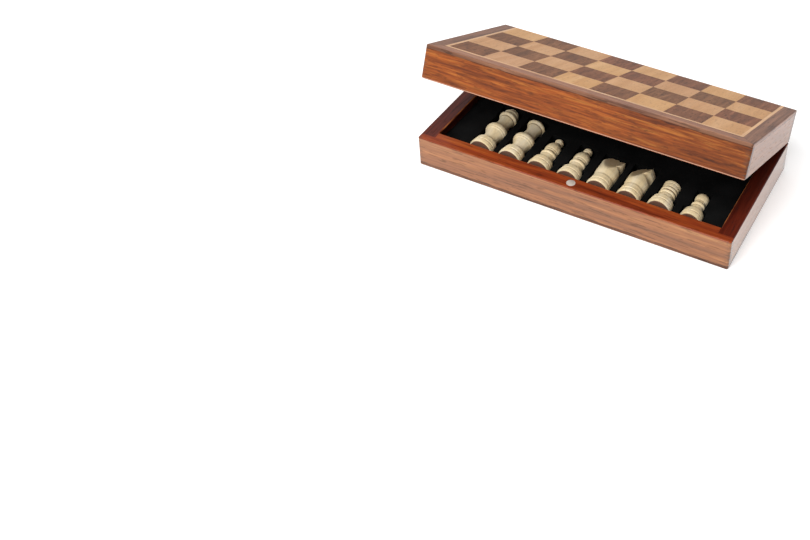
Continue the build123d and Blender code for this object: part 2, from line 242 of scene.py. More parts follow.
# Lacquered hardwood: the figure looks deep and warm, and the coat mirrors the lamps softly.
for half, board in boards.items():
    for side_name in ("front", "back", "left", "right"):
        node = "%s_%s_wall" % (half, side_name)
        is_long = side_name in ("front", "back")
        timber, tree = new_material("lacquered_hardwood_" + node)
        place = own_millimetres(tree, half)
        x, y, z = add(tree, "SeparateXYZ", {0: place}, gives="all")
        out_x = add(tree, "Math", {0: x}, operation="ABSOLUTE")
        out_y = add(tree, "Math", {0: y}, operation="ABSOLUTE")
        along = place if is_long else turned_grain(tree, place)
        face, height, pores = grain(tree, along, **board["grain"], pore_depth=0.35 if is_long else 0.1)
        if is_long:
            # The lid's long boards get darker towards one end.
            far_end_darkening = add(tree, "MapRange", {
                "Value": x, "From Min": darkening_from, "From Max": darkening_to,
                "To Min": 1.0, "To Max": board["far_end_level"]})
            face = add(tree, "VectorMath", {0: face, "Scale": far_end_darkening}, operation="SCALE")
        else:
            # The short boards are plainer, and are paled halfway to tan as a painted reflection of the
            # bright room.
            face = add(tree, "Mix", {0: 0.5, 6: face, 7: linear("#bd8c6e")}, gives=2, data_type="RGBA")

        # The rim and the inside are stained; the stain ends at the outer arris.
        rim_tones = long_rim_tones if is_long else short_rim_tones
        rim = grain(tree, along, rim_tones, streak=2.2, fibre=0.8, pore=0.6)[0]
        stain_edge = half_height - board["stain_reach"]
        above = add(tree, "MapRange", {"Value": z, "From Min": stain_edge,
                                       "From Max": stain_edge + stain_fade}, interpolation_type="SMOOTHSTEP")
        inside_x = add(tree, "Math", {0: out_x, 1: opening_x + stain_lip}, operation="LESS_THAN")
        inside_y = add(tree, "Math", {0: out_y, 1: opening_y + stain_lip}, operation="LESS_THAN")
        inside = add(tree, "Math", {0: inside_x, 1: inside_y}, operation="MULTIPLY")
        stained = add(tree, "Math", {0: above, 1: inside}, operation="MAXIMUM")

        # The rim is darker just below its outer arris, and the inner arris carries a painted highlight in
        # patches.
        darker_below_arris = add(tree, "MapRange", {
            "Value": z, "From Min": half_height - arris, "From Max": half_height - arris_top,
            "To Min": 0.55, "To Max": 1.0})
        rim = add(tree, "VectorMath", {0: rim, "Scale": darker_below_arris}, operation="SCALE")
        outward, opening = (out_y, opening_y) if is_long else (out_x, opening_x)
        inner_edge = add(tree, "MapRange", {"Value": outward, "From Min": opening + highlight_from,
                                            "From Max": opening + highlight_to, "To Min": 0.8, "To Max": 0.0})
        lengths = add(tree, "Mapping", {"Vector": along, "Scale": (1 / highlight_length, 0.0, 0.0)})
        patches = add(tree, "TexNoise", {"Vector": lengths, "Scale": 1.0, "Detail": 2.0})
        patchy = add(tree, "MapRange", {"Value": patches, "From Min": 0.42, "From Max": 0.58})
        at_top = add(tree, "Math", {0: z, 1: half_height - arris}, operation="GREATER_THAN")
        # worn is the share of the painted highlight along the inner arris.
        worn = add(tree, "Math", {0: inner_edge, 1: patchy}, operation="MULTIPLY")
        worn = add(tree, "Math", {0: worn, 1: at_top}, operation="MULTIPLY")
        rim = add(tree, "Mix", {0: worn, 6: rim, 7: linear("#c87a42")}, gives=2, data_type="RGBA")

        # A pale band under the outer arris is a painted reflection of the table; only the lid has it.
        painted_pale_edge = add(tree, "MapRange", {"Value": z, "From Min": half_height - pale_edge_from,
                                        "From Max": half_height - pale_edge_to, "To Max": board["painted_pale_edge"]})

        # Where the long boards show their ends, the grain is cut across and drinks the stain.
        cut_place = add(tree, "CombineXYZ", {0: 0.0, 1: y, 2: z})
        ends = grain(tree, cut_place, end_tones, streak=1.6, fibre=0.6, pore=0.5)[0]
        at_end = add(tree, "Math", {0: out_x, 1: box_length / 2 - end_skin}, operation="GREATER_THAN")
        cut_across = add(tree, "Math", {0: at_end, 1: 0.6 if is_long else 0.0}, operation="MULTIPLY")

        # Handling leaves grey smudges at the corners, where the end grain is near.
        smudge_scale = (1 / smudge_length, 1 / smudge_length, 1 / smudge_height)
        smudge_place = add(tree, "Mapping", {"Vector": place, "Scale": smudge_scale})
        smudges = add(tree, "TexNoise", {"Vector": smudge_place, "Scale": 1.0, "Detail": 3.0})
        spots = add(tree, "MapRange", {"Value": smudges, "From Min": 0.45, "From Max": 0.62,
                                       "To Max": 0.55})
        at_corner = add(tree, "MapRange", {
            "Value": out_x, "From Min": box_length / 2 - smudge_from,
            "From Max": box_length / 2 - smudge_to, "To Max": 1.0 if is_long else 0.0})
        darkened_share = add(tree, "Math", {0: spots, 1: at_corner}, operation="MULTIPLY")

        # A thin dark glue line, a little ragged, where the wall meets the board.
        ragged_scale = (1 / glue_ragged[0], 1 / glue_ragged[1], 1 / glue_ragged[1])
        ragged_place = add(tree, "Mapping", {"Vector": along, "Scale": ragged_scale})
        ragged = add(tree, "TexNoise", {"Vector": ragged_place, "Scale": 1.0, "Detail": 4.0})
        reach = add(tree, "MapRange", {
            "Value": ragged, "From Min": 0.35, "From Max": 0.75,
            "To Min": board_thickness + glue_reach[0], "To Max": board_thickness + glue_reach[1]})
        below = add(tree, "Math", {0: reach, 1: z}, operation="SUBTRACT")
        glue = add(tree, "MapRange", {"Value": below, "From Min": glue_blur[0], "From Max": glue_blur[1],
                                      "To Max": 0.72}, interpolation_type="SMOOTHSTEP")

        # All of that lies over the bare face, one layer after another.
        colour = face
        for share, tone in ((painted_pale_edge, linear("#d8ab90")), (stained, rim), (cut_across, ends),
                            (darkened_share, linear("#4c4038")), (glue, linear("#33180e"))):
            colour = add(tree, "Mix", {0: share, 6: colour, 7: tone}, gives=2, data_type="RGBA")
        bump = add(tree, "Bump", {"Height": height, "Strength": 0.12, "Distance": 0.06 * MM})
        rough = add(tree, "MapRange", {"Value": pores, "To Min": 0.36, "To Max": 0.6})
        own_gloss = board["long_gloss" if is_long else "short_gloss"]
        lacquer = add(tree, "MapRange", {"Value": at_end, "To Min": own_gloss,
                                         "To Max": board["short_gloss"]})
        gloss = add(tree, "MapRange", {"Value": stained, "To Min": lacquer, "To Max": 0.06})
        shader = add(tree, "BsdfPrincipled", {
            "Base Color": colour, "Roughness": rough, "Normal": bump, "IOR": 1.5,
            "Specular IOR Level": 0.15, "Coat Weight": gloss, "Coat Roughness": 0.09, "Coat IOR": 1.5})
        dress(timber, shader, node)


# ---- Panel -----------------------------------------------------------
# Under the foam a thin sheet of birch plywood, let into the walls, carries the field. It is
# bare, pale and rotary cut, so its figure is broad and soft.

# Bare birch is chalky: it spreads the light and hardly mirrors.
ply_tones = [(0.30, "#a8865f"), (0.50, "#c3a37b"), (0.70, "#d6ba93")]
for half in places:
    birch, tree = new_material("birch_plywood_" + half)
    place = own_millimetres(tree, half)
    colour, height = grain(tree, place, ply_tones, streak=7.0, fibre=1.2, pore=0.6, pore_depth=0.12)[:2]
    bump = add(tree, "Bump", {"Height": height, "Strength": 0.2, "Distance": 0.05 * MM})
    shader = add(tree, "BsdfPrincipled", {"Base Color": colour, "Roughness": 0.72, "Normal": bump,
                                          "IOR": 1.45, "Specular IOR Level": 0.25})
    dress(birch, shader, half + "_panel")


# ---- Border ----------------------------------------------------------
# Three strips of walnut 9 mm wide frame the field, mitred at the front corners. The strips are
# sawn lengthwise, open pored and satin lacquered; their edges show as a band round the box.

edge_skin, mitre_core, mitre_width = (0.1, 0.35), 0.15, 0.4


def along_strips(tree, place):
    """Turns the grain along the strip that a point lies on. Returns that place, the distances in from the
    end and from the front of the box, and where the end strips are."""
    x, y, z = add(tree, "SeparateXYZ", {0: place}, gives="all")
    side = add(tree, "Math", {0: x}, operation="ABSOLUTE")
    from_side = add(tree, "Math", {0: box_length / 2, 1: side}, operation="SUBTRACT")
    from_front = add(tree, "Math", {0: y, 1: box_depth / 2}, operation="ADD")
    on_side = add(tree, "Math", {0: from_side, 1: from_front}, operation="LESS_THAN")
    across = turned_grain(tree, place)
    strips = add(tree, "Mix", {0: on_side, 4: place, 5: across}, gives=1, data_type="VECTOR")
    return strips, from_side, from_front, on_side


def over_edge(tree, inward, at_edge, beyond):
    """A value on the sawn edge of a strip, and another one beyond it."""
    return add(tree, "MapRange", {"Value": inward, "From Min": edge_skin[0], "From Max": edge_skin[1],
                                  "To Min": at_edge, "To Max": beyond})


# Walnut: brown with dark open pores and soft in its shine on top; its strips and edges carry painted light
# and shade.
border_tones = [(0.28, "#553527"), (0.45, "#754e3b"), (0.60, "#8a5f47"), (0.78, "#a2755a")]
for half, board in boards.items():
    walnut, tree = new_material("walnut_border_" + half)
    strips, from_side, from_front, on_side = along_strips(tree, own_millimetres(tree, half))
    colour, height = grain(tree, strips, border_tones, streak=1.7, fibre=0.8, pore=0.8, pore_depth=0.45)[:2]
    # The end strips are painted darker and the front strip lighter, for the way their grain takes the light.
    # The sawn front edge carries painted shade; the edges at the ends are painted paler and are as glossy as
    # the walls below them.
    strip_light = add(tree, "MapRange", {"Value": on_side, "To Min": 1.28, "To Max": 0.85})
    front_edge_shade = over_edge(tree, from_front, 0.62, 1.0)
    painted_pale_edge = over_edge(tree, from_side, 2.0, 1.0)
    for level in (strip_light, front_edge_shade, painted_pale_edge):
        colour = add(tree, "VectorMath", {0: colour, "Scale": level}, operation="SCALE")
    gloss = over_edge(tree, from_side, board["short_gloss"], 0.05)
    # The mitre shows as a hair-thin dark line.
    gap = add(tree, "Math", {0: from_side, 1: from_front}, operation="SUBTRACT")
    gap = add(tree, "Math", {0: gap}, operation="ABSOLUTE")
    mitre = add(tree, "MapRange", {"Value": gap, "From Min": mitre_core, "From Max": mitre_width,
                                   "To Min": 0.55, "To Max": 0.0}, interpolation_type="SMOOTHSTEP")
    colour = add(tree, "Mix", {0: mitre, 6: colour, 7: linear("#2c1a12")}, gives=2, data_type="RGBA")
    bump = add(tree, "Bump", {"Height": height, "Strength": 0.35, "Distance": 0.08 * MM})
    shader = add(tree, "BsdfPrincipled", {
        "Base Color": colour, "Roughness": 0.5, "Normal": bump, "IOR": 1.5, "Specular IOR Level": 0.15,
        "Coat Weight": gloss, "Coat Roughness": 0.2})
    dress(walnut, shader, half + "_border_strips")


# ---- Inlay -----------------------------------------------------------
# A pale maple line 2 mm wide is glued between border and field. It is close grained and takes
# a thin satin lacquer, so it reads as one even, light stroke.

satin = {"IOR": 1.5, "Specular IOR Level": 0.12, "Coat Weight": 0.04, "Coat Roughness": 0.35}
line_tones = [(0.30, "#b98d66"), (0.50, "#cfa37b"), (0.70, "#dab48d")]
for half in places:
    maple, tree = new_material("maple_line_" + half)
    strips = along_strips(tree, own_millimetres(tree, half))[0]
    colour, height = grain(tree, strips, line_tones, streak=3.0, fibre=1.0, pore=0.5, pore_depth=0.12)[:2]
    bump = add(tree, "Bump", {"Height": height, "Strength": 0.2, "Distance": 0.05 * MM})
    shader = add(tree, "BsdfPrincipled", {"Base Color": colour, "Roughness": 0.5, "Normal": bump, **satin})
    dress(maple, shader, half + "_inlay_lines")


# ---- Field -----------------------------------------------------------
# The squares are sawn veneers laid with the grain from front to hinge: open-pored walnut and
# close-grained beech with short flecks. Each is a leaf of its own, so its shade differs a little.

square, field_columns = 25.0, 8
flitch = 300.0
veneers = {
    "dark_squares": {
        "wood": "walnut_veneer", "tints": [(0.0, "#fff4f2"), (1.0, "#f4fcec")],
        "grain": {"stops": [(0.30, "#573624"), (0.48, "#724830"), (0.62, "#82553a"), (0.80, "#9b6c4f")],
                  "streak": 2.4, "fibre": 0.7, "pore": 0.7, "pore_depth": 0.5, "run": 9.0, "pore_run": 3.5,
                  "contrast": 0.14}},
    "light_squares": {
        "wood": "beech_veneer", "tints": [(0.0, "#fff9ee"), (1.0, "#f4ecf4")],
        "grain": {"stops": [(0.30, "#ba8e61"), (0.50, "#c49a6e"), (0.70, "#cca57c")],
                  "streak": 6.0, "fibre": 1.0, "pore": 0.6, "pore_depth": 0.16, "run": 9.0, "pore_run": 3.5,
                  "contrast": 0.05}},
}
# Under the same satin lacquer they show their colour from every side, with hardly a highlight.
field_corner = (field_columns * square / 2, -box_depth / 2, 0.0)
for half in places:
    for squares, leaf in veneers.items():
        veneer, tree = new_material(leaf["wood"] + "_" + half)
        place = own_millimetres(tree, half)
        # Each square takes its grain from another place in a flitch of veneer.
        from_corner = add(tree, "VectorMath", {0: place, 1: field_corner}, operation="ADD")
        cell = add(tree, "VectorMath", {0: from_corner, "Scale": 1 / square}, operation="SCALE")
        cell = add(tree, "VectorMath", {0: cell, 1: (0.0, 0.0, 0.5)}, operation="ADD")
        cell = add(tree, "VectorMath", {0: cell}, operation="FLOOR")
        leaf_number = add(tree, "TexWhiteNoise", {"Vector": cell}, gives="all", noise_dimensions="3D")
        jump = add(tree, "VectorMath", {0: leaf_number["Color"], "Scale": flitch}, operation="SCALE")
        shifted = add(tree, "VectorMath", {0: place, 1: jump}, operation="ADD")
        colour, height = grain(tree, turned_grain(tree, shifted), **leaf["grain"])[:2]
        tint = add(tree, "ValToRGB", {0: leaf_number["Value"]}, leaf["tints"])
        colour = add(tree, "VectorMath", {0: colour, 1: tint}, operation="MULTIPLY")
        bump = add(tree, "Bump", {"Height": height, "Strength": 0.3, "Distance": 0.06 * MM})
        shader = add(tree, "BsdfPrincipled", {"Base Color": colour, "Roughness": 0.55, "Normal": bump,
                                              **satin})
        dress(veneer, shader, half + "_" + squares)


# ---- Hinges ----------------------------------------------------------
# Two brass butt hinges are let in flush with the back rims. The leaves are stamped and brushed,
# the pins are plain steel wire, and four cross-recess screws hold each hinge.

def metal(name, tints, roughness, *nodes, scratch_turn=0.0, head=None):
    """Brushed bare metal on these nodes: the scratches run one way and the sheen is uneven. Real scratches
    are a tenth as wide and wouldn't show. A screw of the radius head, in mm, is darker in its recess
    and round its rim."""
    scratch_length, scratch_width, patch = 12 * MM, 0.25 * MM, 7 * MM
    made, tree = new_material(name)
    spot = add(tree, "TexCoord", gives="Object")
    run = add(tree, "Mapping", {"Vector": spot, "Rotation": (0, 0, scratch_turn),
                                "Scale": (1 / scratch_length, 1 / scratch_width, 1 / scratch_width)})
    scratches = add(tree, "TexNoise", {"Vector": run, "Scale": 1.0, "Detail": 2.0})
    patches = add(tree, "TexNoise", {"Vector": spot, "Scale": 1 / patch, "Detail": 2.0})
    tone = add(tree, "ValToRGB", {0: patches}, list(zip((0.3, 0.7), tints)))
    sheen = add(tree, "MapRange", {"Value": patches, "From Min": 0.3, "From Max": 0.7,
                                   "To Min": roughness - 0.06, "To Max": roughness + 0.1})
    bump = add(tree, "Bump", {"Height": scratches, "Strength": 0.15, "Distance": 0.02 * MM})
    if head:
        x, y, z = add(tree, "SeparateXYZ", {0: spot}, gives="all")
        sunk = add(tree, "MapRange", {"Value": z, "From Min": -0.35 * MM, "From Max": -0.1 * MM,
                                      "To Min": 0.9, "To Max": 0.0})
        flat = add(tree, "CombineXYZ", {0: x, 1: y})
        radius = add(tree, "VectorMath", {0: flat}, gives="Value", operation="LENGTH")
        brim = add(tree, "MapRange", {"Value": radius, "From Min": (head - 0.3) * MM,
                                      "From Max": (head - 0.05) * MM, "To Max": 0.8})
        darkened_share = add(tree, "Math", {0: sunk, 1: brim}, operation="MAXIMUM")
        tone = add(tree, "Mix", {0: darkened_share, 6: tone, 7: linear("#35260f")}, gives=2, data_type="RGBA")
    shader = add(tree, "BsdfPrincipled", {"Base Color": tone, "Metallic": 1.0, "Roughness": sheen,
                                          "Normal": bump})
    dress(made, shader, *nodes)
    return made


# Brushed brass looks warm and a little dull, drawn steel cold and streaked across the pin.
metal("brushed_brass", ("#b8964e", "#cdae66"), 0.34, "tray_hinge_leaves", "lid_hinge_leaves")
metal("drawn_steel", ("#8f9192", "#c3c5c6"), 0.28, "hinge_pins", scratch_turn=pi / 2)

# Turned brass is brighter than the leaves, and its darkened recess shows as a dark cross.
screw_radius, screw_head_radius, screw_length, screw_spacing, screw_from_back = 0.8, 1.6, 7.0, 14.0, 4.6
screw_brass = metal("turned_brass", ("#c2a05a", "#dcc07c"), 0.26, head=screw_head_radius)
hinge_spacing, leaf_thickness, leaf_break = 130.0, 0.8, 0.12
thread_turns, thread_depth, thread_from, unthreaded = 9, 0.18, 0.4, 1.2
tip_taper, tip_length = 0.25, 0.6
recess_length, recess_width, recess_depth = 2.0, 0.42, 0.5
driven_turn = 23


def lathe(name, shape, rim, steps, merge):
    """Spins a line of points round the Z axis. Points nearer than merge, in mm, become one."""
    edges = [shape.edges.new(pair) for pair in zip(rim, rim[1:])]
    bmesh.ops.spin(shape, geom=rim + edges, cent=(0, 0, 0), axis=(0, 0, 1), angle=2 * pi, steps=steps,
                   use_duplicate=False)
    bmesh.ops.remove_doubles(shape, verts=shape.verts, dist=merge * MM)
    bmesh.ops.recalc_face_normals(shape, faces=shape.faces)
    made = bpy.data.meshes.new(name)
    shape.to_mesh(made)
    shape.free()
    return made


def screw_mesh():
    """Countersunk head over a shank with a rolled thread. Its top is at z 0."""
    shape = bmesh.new()
    outline = [(0.0, 0.0), (screw_head_radius - leaf_break, 0.0), (screw_head_radius, -leaf_break)]
    outline += [(screw_radius, -leaf_thickness)]
    for i in range(thread_turns * 2):
        depth = leaf_thickness + thread_from + i * (screw_length - unthreaded) / (thread_turns * 2)
        outline.append((screw_radius if i % 2 else screw_radius - thread_depth, -depth))
    outline += [(screw_radius - tip_taper, -leaf_thickness - screw_length + tip_length),
                (0.0, -leaf_thickness - screw_length)]
    rim = [shape.verts.new((r * MM, 0, z * MM)) for r, z in outline]
    return lathe("cross_recess_screw", shape, rim, steps=32, merge=0.001)


def cutter(name, corners, low, high):
    """A prism in mm, as an object that only cuts."""
    count = len(corners)
    points = [(x * MM, y * MM, z * MM) for z in (low, high) for x, y in corners]
    sides = [(i, (i + 1) % count, count + (i + 1) % count, count + i) for i in range(count)]
    made = bpy.data.meshes.new(name)
    made.from_pydata(points, [], [tuple(reversed(range(count))), tuple(range(count, 2 * count))] + sides)
    return bpy.data.objects.new(name, made)


def finished_mesh(piece):
    """The mesh of a piece after its modifiers; the piece itself goes."""
    made = bpy.data.meshes.new_from_object(piece.evaluated_get(bpy.context.evaluated_depsgraph_get()))
    bpy.data.objects.remove(piece)
    return made


def cut(mesh, wastes, name, keeps=()):
    """What is left of the mesh outside the wastes and inside the keeps."""
    piece = bpy.data.objects.new(name, mesh)
    scene.collection.objects.link(piece)
    tools = [(tool, "INTERSECT") for tool in keeps] + [(tool, "DIFFERENCE") for tool in wastes]
    for tool, operation in tools:
        scene.collection.objects.link(tool)
        step = piece.modifiers.new(tool.name, "BOOLEAN")
        step.operation, step.solver, step.object = operation, "EXACT", tool
    made = finished_mesh(piece)
    made.name = name
    for tool, operation in tools:
        bpy.data.objects.remove(tool)
    return made


long_half, wide_half = recess_length / 2, recess_width / 2
arms = [[(-a, -b), (a, -b), (a, b), (-a, b)] for a, b in ((long_half, wide_half), (wide_half, long_half))]
recess = [cutter("recess_arm_%d" % i, arm, -recess_depth, 1.0) for i, arm in enumerate(arms)]
recessed = cut(screw_mesh(), recess, "cross_recess_screw")
recessed.materials.clear()
recessed.materials.append(screw_brass)


def put(mesh, name, half, place):
    """A piece at a place in its half, in millimetres, riding on that half."""
    piece = bpy.data.objects.new(name, mesh)
    scene.collection.objects.link(piece)
    piece.matrix_world = Matrix.Scale(MM, 4) @ places[half] @ place @ Matrix.Scale(1 / MM, 4)
    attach(piece, half)
    return piece


for half in places:
    number = 0
    for middle in (-hinge_spacing / 2, hinge_spacing / 2):
        for side in (-1, 1):
            number += 1
            x = middle + side * screw_spacing / 2
            spot = Matrix.Translation((x, box_depth / 2 - screw_from_back, half_height))
            driven_to = Matrix.Rotation(radians(driven_turn * number), 4, "Z")
            screw = put(recessed, "%s_screw_%d" % (half, number), half, spot @ driven_to)
            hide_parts(half + "_hinge_screws")


# ---- Catch -----------------------------------------------------------
# A round magnet sits flush in the middle of each front rim and holds the box shut. Its nickel
# plating is dulled by the other magnet, so it looks pale and soft, not like a mirror.

metal("plated_nickel", ("#c8beb3", "#e6ddd3"), 0.66, "tray_magnet", "lid_magnet")


# ---- Foam ------------------------------------------------------------
# A block of fine black polyethylene foam is cut with a pocket for each man. Its skin is matt,
# with cells far finer than a hair; they are drawn about 0.5 mm wide so that they show at all.

cell_width, cloud_width = 0.5, 14
for half in places:
    foam, tree = new_material("black_foam_" + half)
    place = own_millimetres(tree, half)
    cells = add(tree, "TexVoronoi", {"Vector": place, "Scale": 1 / cell_width})
    cloud = add(tree, "TexNoise", {"Vector": place, "Scale": 1 / cloud_width, "Detail": 3.0})
    tone = add(tree, "ValToRGB", {0: cloud}, [(0.3, "#0b0b0b"), (0.7, "#151515")])
    bump = add(tree, "Bump", {"Height": cells, "Strength": 0.5, "Distance": 0.15 * MM})
    shader = add(tree, "BsdfPrincipled", {"Base Color": tone, "Roughness": 0.95, "Normal": bump,
                                          "IOR": 1.3, "Specular IOR Level": 0.1})
    dress(foam, shader, half + "_insert")


# ---- Pawns -----------------------------------------------------------
# Each man is turned from one stick and sanded until its edges are soft: pale boxwood for one
# side, red-brown stained wood for the other. Its turned grooves are darkened with painted shade.

foot_height, foot_groove, groove_height, shoulder_height, felt_thickness = 3.0, 0.7, 1.0, 3.0, 0.8
step_height, step_lip = 2.6, 0.4
ring_half_height, ring_round, throat_ratio = 1.2, 0.9, 0.72
turned_step, fewest_in_curve, finer_in_curve = 0.3, 6, 1.3
groove_reach, full_groove, sanding, score_depth, score_width = 1.4, 0.45, 2, 0.4, 0.45
stick_jump = (37.0, 23.0, 51.0)


def foot(base, waist):
    """Foot, groove, shoulder and the rounded step in to the waist."""
    brow, inner = base - foot_groove, waist + step_lip
    top = foot_height + groove_height
    step = top + shoulder_height
    halfway = (inner + (brow - inner) * sqrt(0.5), step + step_height * sqrt(0.5))
    return [(base, 0), (base, foot_height), (brow, foot_height + groove_height / 2),
            (base - foot_groove / 3, top), (brow, step), (inner, step + step_height, *halfway)]


def bead(radius, height, half=ring_half_height, out=ring_round):
    """Where a rounded ring starts, and the run over it."""
    return [(radius - out, height - half), (radius - out, height + half, radius, height)]


def hollow_and_bead(via, *ring):
    """Concave sweep through via, then a rounded ring."""
    start, over = bead(*ring)
    return [(*start, *via), over]


def zone(radius, middle, low, high):
    """The part of a ball on the axis between two heights."""
    end = 0 if high >= middle + radius else sqrt(radius**2 - (high - middle)**2)
    return [(sqrt(radius**2 - (low - middle)**2), low), (end, high, radius, middle)]


def ball_top(radius, middle):
    """A ball that ends the man, entered at its throat."""
    return zone(radius, middle, middle - radius * sqrt(1 - throat_ratio**2), middle + radius)


def bend(start, via, end, count):
    """Points from start to end on the circle through via."""
    a, b = via - start, end - start
    twice = 2 * (a.x * b.y - a.y * b.x)
    middle = start + Vector((b.y * a.length_squared - a.y * b.length_squared,
                             a.x * b.length_squared - b.x * a.length_squared)) / twice
    first, halfway, last = [atan2(p.y - middle.y, p.x - middle.x) for p in (start, via, end)]
    sweep = (last - first) % (2 * pi)
    if (halfway - first) % (2 * pi) > sweep:
        sweep -= 2 * pi
    reach = (start - middle).length
    turns = [first + sweep * i / count for i in range(1, count + 1)]
    return [middle + reach * Vector((cos(t), sin(t))) for t in turns]


def turned(name, runs, scored=()):
    """A turned and sanded mesh, scored with the tip of a chisel over the foot and at some heights. A run
    is an end point, or an end point and a point on the curve to it."""
    line = [Vector((0, 0))]
    for run in runs:
        start, end = line[-1], Vector(run[:2])
        count = max(1, round((end - start).length / turned_step))
        if len(run) == 4:
            line += bend(start, Vector(run[2:]), end, max(fewest_in_curve, round(finer_in_curve * count)))
        else:
            line += [start.lerp(end, i / count) for i in range(1, count + 1)]
    for _ in range(sanding):
        middle = [(a + 2 * b + c) / 4 for a, b, c in zip(line, line[1:], line[2:])]
        line = [line[0]] + middle + [line[-1]]
    marks = (foot_height + groove_height / 2, *scored)
    for point in line:
        point.x -= sum(score_depth * max(0.0, 1 - abs(point.y - height) / score_width) for height in marks)
    # Each point's depth below its neighbours sets how much painted shade it takes in the hollows.
    depths = []
    for point in line:
        near = [other.x for other in line if abs(other.y - point.y) < groove_reach]
        depths.append(max(0.0, sum(near) / len(near) - point.x))
    shape = bmesh.new()
    painted_shade = shape.verts.layers.float.new("painted_shade")
    rim = [shape.verts.new((point.x * MM, 0, point.y * MM)) for point in line]
    for vert, deep in zip(rim, depths):
        vert[painted_shade] = min(1.0, deep / full_groove)
    made = lathe(name, shape, rim, steps=64, merge=0.002)
    made.shade_smooth()
    return made


def man_timber(name, stops, shade_tone, roughness, coat, contrast):
    """Turned wood: the grain runs up the man, and each man is cut from another part of the stick."""
    made, tree = new_material(name)
    spot = add(tree, "TexCoord", gives="Object")
    place = add(tree, "VectorMath", {0: spot, "Scale": 1 / MM}, operation="SCALE")
    which = add(tree, "ObjectInfo", gives="Object Index")
    jump = add(tree, "VectorMath", {0: stick_jump, "Scale": which}, operation="SCALE")
    shifted = add(tree, "VectorMath", {0: place, 1: jump}, operation="ADD")
    x, y, z = add(tree, "SeparateXYZ", {0: shifted}, gives="all")
    upward = add(tree, "CombineXYZ", {0: z, 1: y, 2: x})
    colour, height = grain(tree, upward, stops, streak=3.2, fibre=0.6, pore=0.5, pore_depth=0.1,
                           contrast=contrast)[:2]
    # Hollows, and the knights' sawn cheeks, are darkened with painted shade.
    deep = add(tree, "Attribute", gives="Fac", attribute_name="painted_shade")
    shade_share = add(tree, "MapRange", {"Value": deep, "From Min": 0.12, "From Max": 0.75, "To Max": 0.8})
    colour = add(tree, "Mix", {0: shade_share, 6: colour, 7: linear(shade_tone)}, gives=2, data_type="RGBA")
    bump = add(tree, "Bump", {"Height": height, "Strength": 0.12, "Distance": 0.05 * MM})
    shader = add(tree, "BsdfPrincipled", {
        "Base Color": colour, "Roughness": roughness, "Normal": bump, "IOR": 1.5,
        "Specular IOR Level": 0.3, "Coat Weight": coat, "Coat Roughness": 0.25})
    dress(made, shader)
    return made


# Boxwood is creamy and nearly matt, so its rings show by their shade. The stained wood is dark and
# glossy, and its rings show by their highlights.
box_tones = [(0.30, "#e9cf9f"), (0.50, "#f1ddb3"), (0.70, "#f7e8ca")]
red_tones = [(0.30, "#4f2615"), (0.50, "#753c22"), (0.70, "#935434")]
# The third colour of each timber is the painted shade in its hollows.
sides_of_play = {
    "tray": {"wood": "boxwood", "nodes": "white_", "slot": "boxwood",
             "timber": man_timber("turned_boxwood", box_tones, "#6e4b26", 0.5, 0.15, 0.06)},
    "lid": {"wood": "redwood", "nodes": "dark_", "slot": "stained_redwood",
            "timber": man_timber("turned_stained_redwood", red_tones, "#2e140b", 0.36, 0.5, 0.2)},
}
floor_z, lie_clearance, front_margin, rear_margin = 5.0, 0.25, 5.0, 2.0
men_pitch, front_row_shift = 21.5, 2.4
first_x = front_row_shift - men_pitch * (field_columns - 1) / 2
# Every man takes the next number of its side, which picks its part of the stick.
numbering = {"tray": 0, "lid": 40}


def lay_down(mesh, kind, base, row, node):
    """Lays like men of both sides level in their pockets. row lists each one's place along the box,
    whether it lies in the rear row, and how far it has rolled."""
    stand_off = felt_thickness + foot_height
    front_y = wall - box_depth / 2 + front_margin + stand_off
    rear_y = box_depth / 2 - wall - rear_margin - stand_off
    for half, side in sides_of_play.items():
        own = mesh.copy()
        own.materials.append(side["timber"])
        for number, (column, rear, roll) in enumerate(row, 1):
            spot = Matrix.Translation((first_x + column * men_pitch, rear_y if rear else front_y,
                                       floor_z + lie_clearance + base))
            facing = Matrix.Rotation(pi if rear else 0, 4, "Z")
            lying = Matrix.Rotation(-pi / 2, 4, "X") @ Matrix.Rotation(radians(roll), 4, "Z")
            foot_at_origin = Matrix.Translation((0, 0, -foot_height))
            man = put(own, "%s_%s_%d" % (side["wood"], kind, number), half,
                      spot @ facing @ (lying @ foot_at_origin))
            numbering[half] += 1
            man.pass_index = numbering[half]
            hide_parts(side["nodes"] + node.format(number))


pawn_base, pawn_waist, pawn_collar, pawn_ball = 7.6, (4.0, 11.8), (4.9, 15.4), (4.9, 22.3)
pawn_runs = foot(pawn_base, pawn_waist[0]) + hollow_and_bead(pawn_waist, *pawn_collar) + ball_top(*pawn_ball)
pawn_row = [(7, False, 20)] + [(i - 0.5, True, 50 * i) for i in range(7)]
lay_down(turned("pawn", pawn_runs, scored=(17.6,)), "pawn", pawn_base, pawn_row, "pawns")


# ---- Rooks -----------------------------------------------------------
# A rook's tower stands on two rings over the same turned foot. It flares a little to the brim,
# and its top is dished with a turning tool.

rook_base, rook_waist, rook_collar, rook_ring = 8.5, (5.0, 12.0), (6.0, 15.0), (6.0, 18.2)
rook_tower, rook_brim = (5.6, 20.2), (6.2, 24.8)
dish_rim, dish_depth = 1.4, 2.0
rook_runs = foot(rook_base, rook_waist[0]) + hollow_and_bead(rook_waist, *rook_collar) + bead(*rook_ring)
rook_runs += [rook_tower, rook_brim, (rook_brim[0] - dish_rim, rook_brim[1]), (0, rook_brim[1] - dish_depth)]
rook_mesh = turned("rook", rook_runs, scored=(22.8,))
lay_down(rook_mesh, "rook", rook_base, [(6, False, 0), (6.5, True, 75)], "rook_{}")


# ---- Bishops ---------------------------------------------------------
# A bishop's head is an egg over one ring, ended by a small ball. Lines are scored round both
# with the tip of the chisel while the man still turns.

